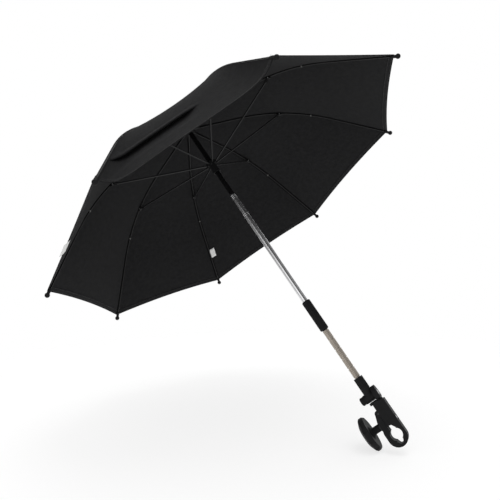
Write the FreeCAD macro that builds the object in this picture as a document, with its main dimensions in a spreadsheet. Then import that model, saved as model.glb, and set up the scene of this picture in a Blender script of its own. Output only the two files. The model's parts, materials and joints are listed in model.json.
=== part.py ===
import FreeCAD, Part
import math
import os
import Sketcher

# A pram parasol: an eight-rib folding canopy on a telescopic shaft, a gooseneck, a tilt joint, a swivel
# and a pincer clamp for the tube of a pram. Millimetres and degrees, +Z up along the shaft.
# The origin is the middle of the clamped tube, whose axis is Y. The clamp's knob points along -X.

SIZES = {
    # Fits
    "slip_gap": 0.05,
    "running_gap": 0.08,
    "open_gap": 0.3,
    "overrun": 1.0,
    # Clamp body, which is the fixed jaw
    "grip_radius": 9.5,
    "jaw_width": 22.0,
    "seat_lip": 5.0,
    "mouth_rise": 15.5,
    "mouth_drop": 14.5,
    "loop_radius": 15.1,
    "loop_inset": 0.6,
    "loop_drop": 4.0,
    "body_side": 14.5,
    "split_inset": 4.9,
    "turret_foot": 52.6,
    "turret_offset": 1.6,
    "turret_radius": 11.4,
    "turret_floor": 2.3,
    "seam_height": 56.3,
    "detent_count": 20,
    "detent_width": 1.5,
    "detent_depth": 1.0,
    "detent_rise": 1.8,
    # Moving jaw and its pin
    "jaw_reach": 14.6,
    "pivot_inset": 5.5,
    "pivot_height": 38.0,
    "knuckle_radius": 5.3,
    "knuckle_width": 10.4,
    "pin_radius": 1.6,
    # Clamp screw, nut, washer and knob
    "screw_height": 20.3,
    "screw_radius": 3.0,
    "screw_slot_rise": 4.0,
    "screw_slot_drop": 9.6,
    "nut_flats": 10.0,
    "hexagon_half_angle": 30.0,
    "nut_thickness": 5.0,
    "nut_inset": 2.0,
    "washer_radius": 6.6,
    "washer_thickness": 1.4,
    "stem_radius": 5.7,
    "stem_length": 15.0,
    "knob_radius": 27.4,
    "knob_thickness": 8.0,
    "knob_dome": 4.5,
    "knob_lobes": 10,
    "knob_lobe_radius": 4.0,
    "knob_lobe_depth": 2.0,
    # Swivel head and its screw
    "swivel_base": 2.8,
    "swivel_base_radius": 9.6,
    "swivel_web": 1.3,
    "swivel_screw_radius": 2.5,
    "swivel_head_radius": 4.5,
    "swivel_head_rise": 1.3,
    "swivel_screw_depth": 11.0,
    "lug_radius": 12.5,
    "lug_inner": 3.4,
    "lug_outer": 11.0,
    # Tilt joint
    "tilt_rise": 8.5,
    "tilt_sleeve_radius": 7.5,
    "tilt_sleeve_length": 34.2,
    "eye_radius": 7.2,
    "eye_proud": 3.0,
    "bolt_radius": 2.0,
    "bolt_head_radius": 4.0,
    "bolt_head_depth": 2.2,
    "tilt_knob_radius": 6.5,
    "tilt_knob_length": 6.6,
    "tilt_knob_grooves": 12,
    "bolt_grip": 4.6,
    # Gooseneck
    "shaft_offset": 1.4,
    "neck_length": 89.7,
    "neck_radius": 5.3,
    "neck_links": 5,
    "link_gap": 1.6,
    "nose_radius": 4.2,
    "ridge_count": 6,
    "groove_width": 1.3,
    "groove_depth": 0.55,
    # Sleeves
    "connector_length": 55.7,
    "connector_radius": 7.25,
    "tube_socket_depth": 32.0,
    "flute_count": 14,
    "flute_radius": 0.9,
    "flute_depth": 0.5,
    "flute_margin": 5.0,
    "sleeve_chamfer": 1.2,
    # Telescopic shaft
    "upper_radius": 4.3,
    "tube_wall": 0.4,
    "lower_tube_reach": 186.4,
    "middle_tube_reach": 41.6,
    "upper_tube_reach": 154.4,
    "tube_engagement": 100.0,
    "band_width": 1.4,
    "band_pitch": 3.0,
    "band_depth": 0.2,
    "band_margin": 2.5,
    # Ribs
    "rib_count": 8,
    "rib_phase": 13.7,
    "canopy_radius": 350.0,
    "hinge_circle": 9.0,
    "wire_radius": 0.6,
    "rib_radius": 1.3,
    "rib_start_angle": 10.5,
    "rib_end_angle": 42.0,
    "rib_inner_run": 92.5,
    "rib_bend_radius": 334.0,
    "rib_eye_radius": 2.1,
    "rib_eye_thickness": 1.6,
    "rib_tongue": 6.5,
    "tongue_lap": 1.0,
    # Rib tips
    "tip_radius": 2.5,
    "tip_length": 12.0,
    "tip_ball_radius": 4.0,
    # Stretchers and their rivets
    "rivet_angle": 24.0,
    "rivet_drop": 1.2,
    "rivet_radius": 0.65,
    "rivet_boss_length": 8.0,
    "rivet_boss_depth": 2.0,
    "rivet_boss_rise": 0.8,
    "fork_length": 9.0,
    "fork_cheek": 0.8,
    "fork_height": 2.8,
    "stretcher_width": 2.4,
    "stretcher_height": 2.2,
    "channel_wall": 0.5,
    "stretcher_ball_radius": 1.5,
    # Crown
    "notch_radius": 11.2,
    "notch_rise": 1.2,
    "notch_drop": 4.0,
    "notch_slot_width": 2.2,
    "cap_radius": 13.0,
    "cap_brim": 1.3,
    "cap_height": 43.0,
    "cap_neck_radius": 7.0,
    "cap_neck_height": 9.0,
    "cap_tip_radius": 4.6,
    "ferrule_depth": 14.0,
    # Runner and its catch
    "runner_bore_gap": 0.1,
    "runner_wall": 1.3,
    "runner_length": 24.0,
    "runner_top": 5.0,
    "collar_radius": 11.0,
    "collar_half_height": 3.2,
    "collar_slot_width": 3.6,
    "catch_width": 2.4,
    "catch_length": 26.0,
    "catch_nose": 1.3,
    # Canopy cloth
    "cloth_thickness": 0.6,
    "cloth_hole_radius": 6.2,
    "cloth_crown_rise": 2.8,
    "cloth_crown_lift": 0.8,
    "cloth_crown_spread": 60.0,
    "hem_hollow": 9.0,
    "gore_sag": 5.0,
}

doc = FreeCAD.newDocument("PramParasol")
sheet = doc.addObject("Spreadsheet::Sheet", "Sizes")


class Size:
    """A size that knows its number and the sheet expression that gives it."""

    def __init__(self, value, text):
        self.value = value
        self.text = text

    def __add__(self, other):
        other = as_size(other)
        return Size(self.value + other.value, f"({self.text} + {other.text})")

    def __sub__(self, other):
        other = as_size(other)
        return Size(self.value - other.value, f"({self.text} - {other.text})")

    def __mul__(self, other):
        other = as_size(other)
        return Size(self.value * other.value, f"({self.text} * {other.text})")

    def __truediv__(self, other):
        other = as_size(other)
        return Size(self.value / other.value, f"({self.text} / {other.text})")

    def __neg__(self):
        return Size(-self.value, f"(0 - {self.text})")

    __radd__ = __add__
    __rmul__ = __mul__


def as_size(term):
    return term if isinstance(term, Size) else Size(float(term), f"{float(term)}")


def sine(angle):
    return Size(math.sin(math.radians(angle.value)), f"sin({angle.text} * 1 deg)")


def cosine(angle):
    return Size(math.cos(math.radians(angle.value)), f"cos({angle.text} * 1 deg)")


class Named:
    """The driving dimensions, each under its alias in the sheet."""


size = Named()
for row, (alias, number) in enumerate(SIZES.items(), start=1):
    sheet.set(f"A{row}", alias)
    sheet.set(f"B{row}", str(number))
    sheet.setAlias(f"B{row}", alias)
    setattr(size, alias, Size(float(number), f"Sizes.{alias}"))
doc.recompute()

zero = as_size(0)
nodes = {}
AXIS_TURN = {
    "X": FreeCAD.Rotation(FreeCAD.Vector(0, 1, 0), 90),
    "Y": FreeCAD.Rotation(FreeCAD.Vector(1, 0, 0), -90),
    "Z": FreeCAD.Rotation(),
}

# Heights along the shaft, from the clamped tube up
tilt_height = size.seam_height + size.tilt_rise
sleeve_top = tilt_height + size.tilt_sleeve_length
neck_top = sleeve_top + size.neck_length
connector_top = neck_top + size.connector_length
lower_mouth = connector_top + size.lower_tube_reach
middle_mouth = lower_mouth + size.middle_tube_reach
crown_height = middle_mouth + size.upper_tube_reach
shaft_x = -size.shaft_offset
turret_x = size.turret_offset
lug_inner_x = turret_x + size.lug_inner
lug_outer_x = turret_x + size.lug_outer

# Telescopic tubes, each a slip fit in the next
middle_radius = size.upper_radius + size.slip_gap + size.tube_wall
lower_radius = middle_radius + size.slip_gap + size.tube_wall

# Rib line: a straight run, a bend and a straight run down to the tip
rib_turn = size.rib_end_angle - size.rib_start_angle
bend_span = size.rib_bend_radius * (sine(size.rib_end_angle) - sine(size.rib_start_angle))
inner_span = size.rib_inner_run * cosine(size.rib_start_angle)
outer_span = size.canopy_radius - size.hinge_circle - inner_span - bend_span
rib_outer_run = outer_span / cosine(size.rib_end_angle)

# Rivet of rib and stretcher in the rib's own axes: X along the inner run, Z up from the hinge
rivet_turn = size.rivet_angle - size.rib_start_angle
rivet_circle = size.rib_bend_radius - size.rivet_drop
rivet_x = size.rib_inner_run + rivet_circle * sine(rivet_turn)
rivet_z = rivet_circle * cosine(rivet_turn) - size.rib_bend_radius

# Rib and stretcher are equally long up to the rivet, so the runner's hinge lies right below the rib's
rivet_reach = rivet_x * cosine(size.rib_start_angle) + rivet_z * sine(size.rib_start_angle)
rivet_fall = rivet_x * sine(size.rib_start_angle) - rivet_z * cosine(size.rib_start_angle)
runner_height = crown_height - rivet_fall * 2
stretcher_length = as_size(math.hypot(rivet_reach.value, rivet_fall.value))
stretcher_angle = math.degrees(math.atan2(rivet_fall.value, rivet_reach.value))
rib_azimuths = [k * 360 / SIZES["rib_count"] - SIZES["rib_phase"] for k in range(SIZES["rib_count"])]


def vector(x, y, z):
    return FreeCAD.Vector(as_size(x).value, as_size(y).value, as_size(z).value)


def place(obj, x, y, z, rotation=None):
    """Puts an object at a point whose coordinates stay bound to the sheet."""
    obj.Placement = FreeCAD.Placement(vector(x, y, z), rotation or FreeCAD.Rotation())
    for axis, term in zip("xyz", (x, y, z)):
        if isinstance(term, Size):
            obj.setExpression(f"Placement.Base.{axis}", term.text)
    return obj


def make(kind, name, **sizes):
    obj = doc.addObject(kind, name)
    for prop, term in sizes.items():
        obj.setExpression(prop, as_size(term).text)
    return obj


def rod(name, radius, low, high, across=(zero, zero), axis="Z"):
    """A round bar along one axis from low to high, at a place across on the other two axes."""
    bar = make("Part::Cylinder", name, Radius=radius, Height=as_size(high) - low)
    first, second = across
    spot = {"X": (low, first, second), "Y": (first, low, second), "Z": (first, second, low)}[axis]
    return place(bar, *spot, AXIS_TURN[axis])


def block(name, x_span, y_span, z_span):
    spans = [(as_size(low), as_size(high)) for low, high in (x_span, y_span, z_span)]
    lengths = [high - low for low, high in spans]
    brick = make("Part::Box", name, Length=lengths[0], Width=lengths[1], Height=lengths[2])
    return place(brick, *[low for low, high in spans])


def ball(name, radius, x, y, z):
    return place(make("Part::Sphere", name, Radius=radius), x, y, z)


def union(name, shapes):
    obj = doc.addObject("Part::MultiFuse", name)
    obj.Shapes = shapes
    obj.Refine = True
    return obj


def cut(name, base, tools):
    obj = doc.addObject("Part::Cut", name)
    obj.Base = base
    obj.Tool = tools[0] if len(tools) == 1 else union(name + "_tools", tools)
    return obj


def ring_of(count, maker, x, y):
    """Copies of one tool spaced evenly about an upright axis at x, y."""
    tools = []
    for k in range(int(count.value)):
        tool = maker(k)
        turn = FreeCAD.Rotation(FreeCAD.Vector(0, 0, 1), 360 * k / count.value)
        pivot = FreeCAD.Placement(vector(x, y, zero), turn)
        group = doc.addObject("Part::Compound", f"{tool.Name}_set")
        group.Links = [tool]
        group.Placement = pivot
        tools.append(group)
    return tools


def outline(body, role, points):
    """A closed sketch of straight lines whose corners are bound to the sheet."""
    sketch = body.newObject("Sketcher::SketchObject", "Outline")
    plane = next(item for item in body.Origin.OriginFeatures if item.Role == role)
    sketch.AttachmentSupport = [(plane, "")]
    sketch.MapMode = "FlatFace"
    corners = [(as_size(x), as_size(y)) for x, y in points]
    count = len(corners)
    for k in range(count):
        ends = [FreeCAD.Vector(x.value, y.value, 0) for x, y in (corners[k], corners[(k + 1) % count])]
        sketch.addGeometry(Part.LineSegment(*ends), False)
    for k in range(count):
        sketch.addConstraint(Sketcher.Constraint("Coincident", k, 2, (k + 1) % count, 1))
    for k, (x, y) in enumerate(corners):
        for kind, term, line in (("DistanceX", x, -2), ("DistanceY", y, -1)):
            if term is zero:
                sketch.addConstraint(Sketcher.Constraint("PointOnObject", k, 1, line))
                continue
            index = sketch.addConstraint(Sketcher.Constraint(kind, -1, 1, k, 1, term.value))
            sketch.setExpression(f"Constraints[{index}]", term.text)
    return sketch


def turned(name, points):
    """A body of revolution about its own Z axis from (radius, height) corners."""
    body = doc.addObject("PartDesign::Body", name)
    sketch = outline(body, "XZ_Plane", points)
    spin = body.newObject("PartDesign::Revolution", "Turn")
    spin.Profile = sketch
    spin.ReferenceAxis = (sketch, ["V_Axis"])
    spin.Angle = 360
    return body


def plate(name, points, thickness):
    """A body with an outline in the XZ plane, padded evenly to both sides of it."""
    body = doc.addObject("PartDesign::Body", name)
    sketch = outline(body, "XZ_Plane", points)
    pad = body.newObject("PartDesign::Pad", "Pad")
    pad.Profile = sketch
    pad.setExpression("Length", thickness.text)
    pad.Midplane = True
    return body


def keep(node, obj, placement=None):
    obj.Label = node
    if placement is not None:
        obj.Placement = placement
    nodes[node] = obj


def around(azimuth, radius, height, pitch=0.0):
    """Placement on the shaft at an azimuth, with the local X axis dipped by a pitch angle."""
    upright = FreeCAD.Rotation(FreeCAD.Vector(0, 0, 1), azimuth)
    dip = FreeCAD.Rotation(FreeCAD.Vector(0, 1, 0), pitch)
    shaft = FreeCAD.Placement(vector(shaft_x, zero, zero), upright)
    return shaft.multiply(FreeCAD.Placement(vector(radius, zero, height), dip))


def on_shaft(node, body):
    place(body, shaft_x, zero, zero)
    keep(node, body)


def make_mouth(name):
    """Tool for the opening of the clamp above and below the round seats."""
    corners = [
        (-size.split_inset - size.open_gap, size.mouth_rise),
        (size.seat_lip / 4, size.mouth_rise),
        (size.seat_lip, size.grip_radius),
        (size.seat_lip, -size.grip_radius),
        (size.seat_lip / 2, -size.mouth_drop),
        (-size.seat_lip / 2, -size.mouth_drop),
        (-size.seat_lip, -size.grip_radius),
        (-size.seat_lip, size.grip_radius),
    ]
    return plate(name, corners, size.jaw_width + size.overrun * 2)


def half_loop(name, left_edge, right_edge):
    """The part of the clamp's round lower end that lies between two upright planes."""
    half = size.jaw_width / 2
    disc = rod(f"{name}_disc", size.loop_radius, -half, half, (-size.loop_inset, -size.loop_drop), "Y")
    slab = block(f"{name}_slab", (left_edge, right_edge), (-half, half),
                 (-size.loop_drop - size.loop_radius - size.overrun, size.loop_radius))
    common = doc.addObject("Part::Common", name)
    common.Base = disc
    common.Tool = slab
    return common


def make_clamp_body():
    half = size.jaw_width / 2
    split = -size.seat_lip / 4
    corners = [
        (-size.split_inset, size.turret_foot + size.overrun),
        (size.body_side, size.turret_foot + size.overrun),
        (size.body_side, -size.loop_drop),
        (split, -size.loop_drop),
        (split, size.mouth_rise),
        (-size.split_inset, size.mouth_rise),
    ]
    frame = plate("clamp_frame", corners, size.jaw_width)
    loop = half_loop("body_loop", split, size.body_side + size.overrun)
    turret = rod("turret", size.turret_radius, size.turret_foot, size.seam_height, (turret_x, zero))
    pivot = (-size.pivot_inset, size.pivot_height)
    knuckle = rod("body_knuckle", size.knuckle_radius, -half, half, pivot, "Y")
    gap = size.knuckle_width / 2 + size.open_gap
    hollow = rod("knuckle_gap", size.knuckle_radius + size.open_gap, -gap, gap, pivot, "Y")
    seat = rod("body_seat", size.grip_radius, -half - size.overrun, half + size.overrun, axis="Y")
    pin = rod("body_pin_hole", size.pin_radius + size.slip_gap, -half, half, pivot, "Y")
    along = (zero, size.screw_height)
    reach = size.knuckle_radius + size.pivot_inset
    screw = rod("body_screw_hole", size.screw_radius + size.open_gap, -reach, size.body_side, along, "X")
    pocket = make("Part::Prism", "nut_pocket", Circumradius=nut_corner() + size.slip_gap,
                  Height=size.body_side + size.nut_inset + size.overrun)
    place(pocket, -size.nut_inset, zero, size.screw_height, AXIS_TURN["X"])
    spot = (turret_x, zero)
    well = rod("turret_well", size.swivel_base_radius + size.open_gap, size.seam_height - size.turret_floor,
               size.seam_height, spot)
    post_low = size.seam_height - size.swivel_screw_depth
    post = rod("body_post_hole", size.swivel_screw_radius + size.slip_gap, post_low, size.seam_height, spot)

    def notch(k):
        reach = size.turret_radius + size.overrun
        width = size.detent_width / 2
        return block(f"body_detent_{k}", (size.turret_radius - size.detent_depth, reach), (-width, width),
                     (size.seam_height - size.detent_rise, size.seam_height))

    detents = ring_of(size.detent_count, notch, turret_x, zero)
    solid = union("clamp_block", [frame, loop, turret, knuckle])
    tools = [make_mouth("body_mouth"), hollow, seat, pin, screw, pocket, well, post]
    keep("clamp_body", cut("clamp_body", solid, tools + detents))


def nut_corner():
    return size.nut_flats / 2 / cosine(size.hexagon_half_angle)


def make_clamp_jaw():
    half = size.jaw_width / 2
    inner = size.split_inset + size.open_gap
    split = -size.seat_lip / 4 - size.open_gap
    left = -size.loop_inset - size.loop_radius
    land = size.washer_radius + size.overrun
    corners = [
        (-inner, size.pivot_height - size.knuckle_radius),
        (-inner, size.mouth_rise),
        (-size.seat_lip, size.grip_radius),
        (-size.seat_lip, -size.loop_drop),
        (left, -size.loop_drop),
        (left, size.grip_radius),
        (-size.jaw_reach, size.screw_height - land),
        (-size.jaw_reach, size.screw_height + land),
        (-size.pivot_inset - size.knuckle_radius, size.pivot_height),
        (-size.pivot_inset, size.pivot_height),
    ]
    frame = plate("jaw_frame", corners, size.jaw_width)
    loop = half_loop("jaw_loop", left - size.overrun, split)
    pivot = (-size.pivot_inset, size.pivot_height)
    barrel = size.knuckle_width / 2
    knuckle = rod("jaw_knuckle", size.knuckle_radius, -barrel, barrel, pivot, "Y")
    hole = rod("jaw_pin_hole", size.pin_radius + size.running_gap, -half, half, pivot, "Y")
    seat = rod("jaw_seat", size.grip_radius, -half - size.overrun, half + size.overrun, axis="Y")
    swept = size.knuckle_radius + size.open_gap
    sides = [
        rod("jaw_gap_front", swept, -half - size.overrun, -barrel, pivot, "Y"),
        rod("jaw_gap_back", swept, barrel, half + size.overrun, pivot, "Y"),
    ]
    width = size.screw_radius + size.open_gap
    slot = block("jaw_slot", (left, zero), (-width, width),
                 (size.screw_height - size.screw_slot_drop, size.screw_height + size.screw_slot_rise))
    solid = cut("jaw_frame_cut", frame, sides)
    solid = union("jaw_block", [solid, loop, knuckle])
    keep("clamp_jaw", cut("clamp_jaw", solid, [make_mouth("jaw_mouth"), hole, seat, slot]))
    keep("jaw_pin", rod("jaw_pin", size.pin_radius, -half, half, pivot, "Y"))


def make_clamp_screw():
    along = (zero, size.screw_height)
    washer_out = -size.jaw_reach - size.open_gap
    washer_in = washer_out - size.washer_thickness
    washer = rod("washer_disc", size.washer_radius, washer_in, washer_out, along, "X")
    eye = rod("washer_hole", size.screw_radius + size.running_gap, washer_in, washer_out, along, "X")
    keep("clamp_washer", cut("clamp_washer", washer, [eye]))
    stem_out = washer_in - size.slip_gap
    face = stem_out - size.stem_length
    back = face - size.knob_thickness
    screw_end = size.body_side - size.open_gap
    keep("clamp_screw", rod("clamp_screw", size.screw_radius, back, screw_end, along, "X"))
    nut = make("Part::Prism", "nut_hex", Circumradius=nut_corner(), Height=size.nut_thickness)
    place(nut, -size.nut_inset, zero, size.screw_height, AXIS_TURN["X"])
    hole = rod("nut_thread", size.screw_radius + size.running_gap, -size.nut_inset,
               size.nut_thickness - size.nut_inset, along, "X")
    keep("clamp_nut", cut("clamp_nut", nut, [hole]))
    make_clamp_knob(stem_out)


def make_clamp_knob(stem_out):
    bore = size.screw_radius + size.slip_gap
    disc = size.stem_length
    back = size.stem_length + size.knob_thickness
    rim = size.knob_radius
    corners = [
        (bore, zero),
        (size.stem_radius, zero),
        (size.stem_radius, disc * 3 / 4),
        (size.stem_radius * 2, disc),
        (rim - size.knob_lobe_depth, disc - size.knob_lobe_depth / 2),
        (rim, disc + size.knob_lobe_depth),
        (rim, back - size.knob_lobe_depth),
        (rim - size.knob_lobe_depth, back),
        (rim * 2 / 3, back + size.knob_dome * 3 / 4),
        (rim / 3, back + size.knob_dome),
        (zero, back + size.knob_dome),
        (zero, back + size.slip_gap),
        (bore, back + size.slip_gap),
    ]
    disc_body = turned("knob_disc", corners)

    def scallop(k):
        reach = rim + size.knob_lobe_radius - size.knob_lobe_depth
        return rod(f"knob_scallop_{k}", size.knob_lobe_radius, disc - size.overrun * 2,
                   back + size.overrun, (reach, zero))

    knob = cut("clamp_knob", disc_body, ring_of(size.knob_lobes, scallop, zero, zero))
    keep("clamp_knob", place(knob, stem_out, zero, size.screw_height,
                             FreeCAD.Rotation(FreeCAD.Vector(0, 1, 0), -90)))


def make_swivel():
    floor = size.seam_height - size.turret_floor + size.open_gap
    top = floor + size.swivel_base
    low = size.seam_height + size.open_gap
    spot = (turret_x, zero)
    base = rod("swivel_disc", size.swivel_base_radius, floor, top, spot)
    lug = rod("swivel_lug", size.lug_radius, lug_inner_x, lug_outer_x, (zero, tilt_height), "X")
    under = block("lug_trim", (lug_inner_x - size.overrun, lug_outer_x + size.overrun),
                  (-size.lug_radius - size.overrun, size.lug_radius + size.overrun),
                  (tilt_height - size.lug_radius - size.overrun, low))
    hole = rod("swivel_hole", size.swivel_screw_radius + size.running_gap, floor, top, spot)
    seat_low = floor + size.swivel_web
    well = rod("swivel_well", size.swivel_head_radius + size.open_gap, seat_low, top, spot)
    axis = (zero, tilt_height)
    bolt = rod("lug_hole", size.bolt_radius + size.slip_gap, lug_inner_x, lug_outer_x, axis, "X")
    sink = rod("lug_sink", size.bolt_head_radius + size.slip_gap, lug_outer_x - size.bolt_head_depth,
               lug_outer_x + size.overrun, axis, "X")
    solid = union("swivel_block", [base, cut("lug_flat", lug, [under])])
    keep("swivel_head", cut("swivel_head", solid, [hole, well, bolt, sink]))
    shank = rod("swivel_shank", size.swivel_screw_radius, size.seam_height - size.swivel_screw_depth,
                seat_low + size.slip_gap, spot)
    head = rod("swivel_screw_head", size.swivel_head_radius, seat_low + size.slip_gap,
               seat_low + size.swivel_head_rise, spot)
    keep("swivel_screw", union("swivel_screw", [shank, head]))


def flutes(name, radius, low, high):
    """Tools for the long grooves round a sleeve on the shaft."""
    reach = radius + size.flute_radius - size.flute_depth

    def flute(k):
        return rod(f"{name}_{k}", size.flute_radius, low, high, (reach, zero))

    return ring_of(size.flute_count, flute, shaft_x, zero)


def make_tilt_joint():
    axis = (zero, tilt_height)
    eye_low = shaft_x - size.tilt_sleeve_radius - size.eye_proud
    eye_high = lug_inner_x - size.open_gap
    post = rod("tilt_post", size.tilt_sleeve_radius, tilt_height, sleeve_top, (shaft_x, zero))
    eye = rod("tilt_eye", size.eye_radius, eye_low, eye_high, axis, "X")
    shave = block("tilt_shave", (eye_high, lug_outer_x), (-size.lug_radius, size.lug_radius),
                  (tilt_height - size.lug_radius, tilt_height + size.lug_radius + size.open_gap))
    hole = rod("tilt_hole", size.bolt_radius + size.running_gap, eye_low, eye_high, axis, "X")
    socket = ball("tilt_socket", size.nose_radius + size.running_gap, shaft_x, zero, neck_pivot(0))
    grooves = flutes("tilt_flute", size.tilt_sleeve_radius,
                     tilt_height + size.lug_radius + size.flute_margin, sleeve_top - size.flute_margin / 2)
    sleeve = union("tilt_block", [post, eye])
    keep("tilt_sleeve", cut("tilt_sleeve", sleeve, [shave, hole, socket] + grooves))
    knob_high = eye_low - size.open_gap
    shank_low = knob_high - size.bolt_grip
    shank = rod("bolt_shank", size.bolt_radius, shank_low, lug_outer_x - size.bolt_head_depth, axis, "X")
    head = rod("bolt_head", size.bolt_head_radius, lug_outer_x - size.bolt_head_depth,
               lug_outer_x - size.slip_gap, axis, "X")
    keep("tilt_bolt", union("tilt_bolt", [shank, head]))
    make_tilt_knob(knob_high)


def make_tilt_knob(knob_high):
    bore = size.bolt_radius + size.running_gap
    radius = size.tilt_knob_radius
    length = size.tilt_knob_length
    corners = [
        (bore, zero),
        (radius, zero),
        (radius, length - size.sleeve_chamfer),
        (radius - size.sleeve_chamfer, length),
        (zero, length),
        (zero, size.bolt_grip + size.open_gap),
        (bore, size.bolt_grip + size.open_gap),
    ]
    cap = turned("tilt_cap", corners)

    def groove(k):
        spot = (radius + size.flute_radius - size.flute_depth, zero)
        return rod(f"tilt_groove_{k}", size.flute_radius, -size.overrun, length + size.overrun, spot)

    knob = cut("tilt_knob", cap, ring_of(size.tilt_knob_grooves, groove, zero, zero))
    keep("tilt_knob", place(knob, knob_high, zero, tilt_height,
                            FreeCAD.Rotation(FreeCAD.Vector(0, 1, 0), -90)))


def neck_pivot(index):
    """Height of one pivot of the gooseneck, counted from the tilt sleeve."""
    pitch = (size.neck_length - size.link_gap) / size.neck_links
    return sleeve_top + size.link_gap / 2 + pitch * index


def make_neck_link(index):
    """One length of the gooseneck: a ridged barrel with a ball nose below and a ball socket above."""
    low = neck_pivot(index - 1) + size.link_gap / 2
    high = neck_pivot(index) - size.link_gap / 2
    ridges = int(SIZES["ridge_count"])
    pitch = (high - low) / size.ridge_count
    valley = size.neck_radius - size.groove_depth
    corners = [(zero, low), (size.neck_radius, low)]
    for k in range(1, ridges):
        middle = low + pitch * k
        corners.append((size.neck_radius, middle - size.groove_width / 2))
        corners.append((valley, middle))
        corners.append((size.neck_radius, middle + size.groove_width / 2))
    corners += [(size.neck_radius, high), (zero, high)]
    name = f"neck_link_{index}"
    barrel = turned(f"neck_barrel_{index}", corners)
    nose = ball(f"neck_nose_{index}", size.nose_radius, zero, zero, neck_pivot(index - 1))
    socket = ball(f"neck_socket_{index}", size.nose_radius + size.running_gap, zero, zero, neck_pivot(index))
    solid = union(f"neck_solid_{index}", [barrel, nose])
    on_shaft(name, cut(name, solid, [socket]))


def make_connector():
    radius = size.connector_radius
    floor = connector_top - size.tube_socket_depth
    bore = lower_radius + size.slip_gap
    corners = [
        (zero, neck_top),
        (radius - size.sleeve_chamfer, neck_top),
        (radius, neck_top + size.sleeve_chamfer),
        (radius, connector_top - size.sleeve_chamfer),
        (radius - size.sleeve_chamfer, connector_top),
        (bore, connector_top),
        (bore, floor),
        (zero, floor),
    ]
    body = place(turned("connector_body", corners), shaft_x, zero, zero)
    pivot = neck_pivot(SIZES["neck_links"])
    nose = ball("connector_nose", size.nose_radius, shaft_x, zero, pivot)
    grooves = flutes("connector_flute", radius, neck_top + size.flute_margin,
                     connector_top - size.flute_margin)
    keep("connector_sleeve", cut("connector_sleeve", union("connector_solid", [body, nose]), grooves))


def tube(name, radius, low, high, bands):
    """A thin tube with rolled bands below its mouth."""
    bore = radius - size.tube_wall
    corners = [(bore, low), (radius, low)]
    for k in reversed(range(bands)):
        middle = high - size.band_margin - size.band_pitch * k
        shallow = radius - size.band_depth
        corners.append((radius, middle - size.band_width / 2))
        corners.append((shallow, middle - size.band_width / 4))
        corners.append((shallow, middle + size.band_width / 4))
        corners.append((radius, middle + size.band_width / 2))
    corners += [(radius, high), (bore, high)]
    return turned(name, corners)


def make_shaft():
    floor = connector_top - size.tube_socket_depth + size.slip_gap
    on_shaft("lower_tube", tube("lower_tube", lower_radius, floor, lower_mouth, 2))
    middle_low = lower_mouth - size.tube_engagement
    on_shaft("middle_tube", tube("middle_tube", middle_radius, middle_low, middle_mouth, 3))
    upper_low = middle_mouth - size.tube_engagement
    upper_high = crown_height + size.cloth_crown_rise + size.ferrule_depth
    upper = tube("upper_body", size.upper_radius, upper_low, upper_high, 0)
    width = size.catch_width / 2
    nose_top = runner_low() - size.open_gap
    slit = block("catch_slit", (zero, size.upper_radius + size.overrun), (-width, width),
                 (nose_top - size.catch_length, nose_top))
    on_shaft("upper_tube", cut("upper_tube", upper, [slit]))
    make_catch(nose_top, width)


def make_catch(nose_top, width):
    """The leaf that springs out below the runner and holds the canopy open."""
    low = nose_top - size.catch_length + size.slip_gap
    back = size.upper_radius - size.tube_wall
    corners = [
        (back, low),
        (size.upper_radius, low),
        (size.upper_radius, nose_top - size.catch_length / 2),
        (size.upper_radius + size.catch_nose, nose_top - size.slip_gap),
        (back, nose_top - size.slip_gap),
    ]
    leaf = plate("runner_catch", corners, (width - size.slip_gap) * 2)
    on_shaft("runner_catch", leaf)


def runner_low():
    return runner_height + size.runner_top - size.runner_length


def make_runner():
    bore = lower_radius + size.runner_bore_gap
    barrel = bore + size.runner_wall
    low = runner_low()
    high = runner_height + size.runner_top
    collar_low = runner_height - size.collar_half_height
    collar_high = runner_height + size.collar_half_height
    corners = [
        (bore, low),
        (barrel + size.channel_wall, low),
        (barrel, low + size.collar_half_height),
        (barrel, collar_low),
        (size.collar_radius, collar_low),
        (size.collar_radius, collar_high),
        (barrel, collar_high),
        (barrel, high),
        (bore, high),
    ]
    body = turned("runner_body", corners)
    floor = size.hinge_circle - size.stretcher_ball_radius - size.open_gap
    width = size.collar_slot_width / 2

    def slot(k):
        return block(f"runner_slot_{k}", (floor, size.collar_radius + size.overrun), (-width, width),
                     (collar_low - size.overrun, collar_high + size.overrun))

    runner = cut("runner", body, ring_of(size.rib_count, slot, zero, zero))
    keep("runner", runner, around(rib_azimuths[0], zero, zero))


def make_crown():
    bore = size.upper_radius + size.slip_gap
    low = crown_height - size.notch_drop
    high = crown_height + size.notch_rise
    channel = size.wire_radius + size.running_gap
    groove = size.hinge_circle - channel
    corners = [
        (bore, low),
        (size.notch_radius, low),
        (size.notch_radius, crown_height - channel),
        (groove, crown_height - channel),
        (groove, crown_height + channel),
        (size.notch_radius, crown_height + channel),
        (size.notch_radius, high),
        (bore, high),
    ]
    body = turned("notch_body", corners)
    floor = size.hinge_circle - size.rib_eye_radius - size.open_gap
    width = size.notch_slot_width / 2

    def slot(k):
        return block(f"notch_slot_{k}", (floor, size.notch_radius + size.overrun), (-width, width),
                     (low - size.overrun, high + size.overrun))

    notch = cut("top_notch", body, ring_of(size.rib_count, slot, zero, zero))
    keep("top_notch", notch, around(rib_azimuths[0], zero, zero))
    wire = make("Part::Torus", "crown_wire", Radius1=size.hinge_circle, Radius2=size.wire_radius)
    keep("crown_wire", place(wire, shaft_x, zero, crown_height))
    make_cap(bore)


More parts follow.
